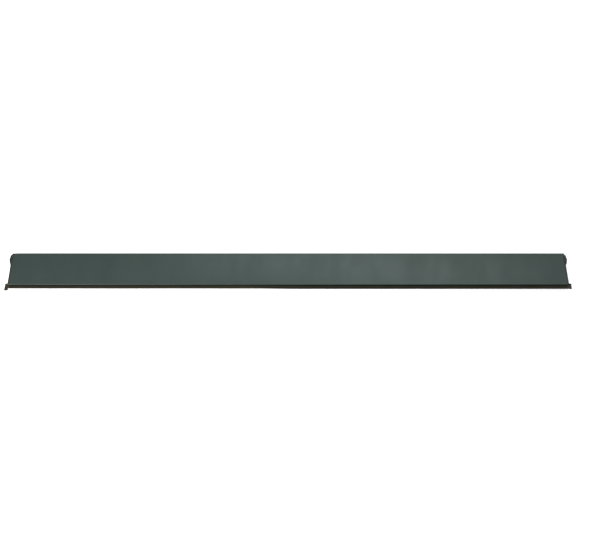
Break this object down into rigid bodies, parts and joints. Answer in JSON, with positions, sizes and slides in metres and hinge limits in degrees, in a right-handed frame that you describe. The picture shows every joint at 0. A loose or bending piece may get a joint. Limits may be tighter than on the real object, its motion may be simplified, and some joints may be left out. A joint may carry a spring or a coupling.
{
  "type": "door sweep",
  "caption": "Surface-mounted door sweep: screwed aluminium rail, plain clip-on cover, two-bladed rubber insert, foam back gaskets and screwed end caps.",
  "frame": {"origin": "centre of the back face that rests on the door, half way along the sweep and half way up the cover's face", "axes": "+X along the sweep, +Y up the door and away from the blades, +Z out of the door through the cover's face"},
  "size_m": [0.9238, 0.0621, 0.0129],
  "materials": {
    "rail_aluminium": "mill finish",
    "slate_coating": "satin slate-grey coating",
    "blade_rubber": "matte",
    "gasket_foam": "closed-cell foam",
    "cap_plastic": "moulded, satin",
    "screw_steel": "black oxide"
  },
  "bodies": {
    "carrier": {"base_rail": "rail_aluminium", "face_cover": "slate_coating", "insert_root": "blade_rubber", "back_gasket_upper": "gasket_foam", "back_gasket_lower": "gasket_foam", "end_cap_left": "cap_plastic", "end_cap_right": "cap_plastic", "end_cap_screw_left": "screw_steel", "end_cap_screw_right": "screw_steel"},
    "front_blade": {"front_blade": "blade_rubber"},
    "rear_blade": {"rear_blade": "blade_rubber"}
  },
  "joints": [
    {"name": "front_blade_flex", "type": "hinge", "parent": "carrier", "child": "front_blade", "pos_m": [0, -0.0278, 0.0069], "axis": [1, 0, 0], "range_deg": [-15, 45], "stiffness_Nm_per_rad": 0.4},
    {"name": "rear_blade_flex", "type": "hinge", "parent": "carrier", "child": "rear_blade", "pos_m": [0, -0.0274, 0.0034], "axis": [1, 0, 0], "range_deg": [-35, 4], "stiffness_Nm_per_rad": 0.4}
  ]
}
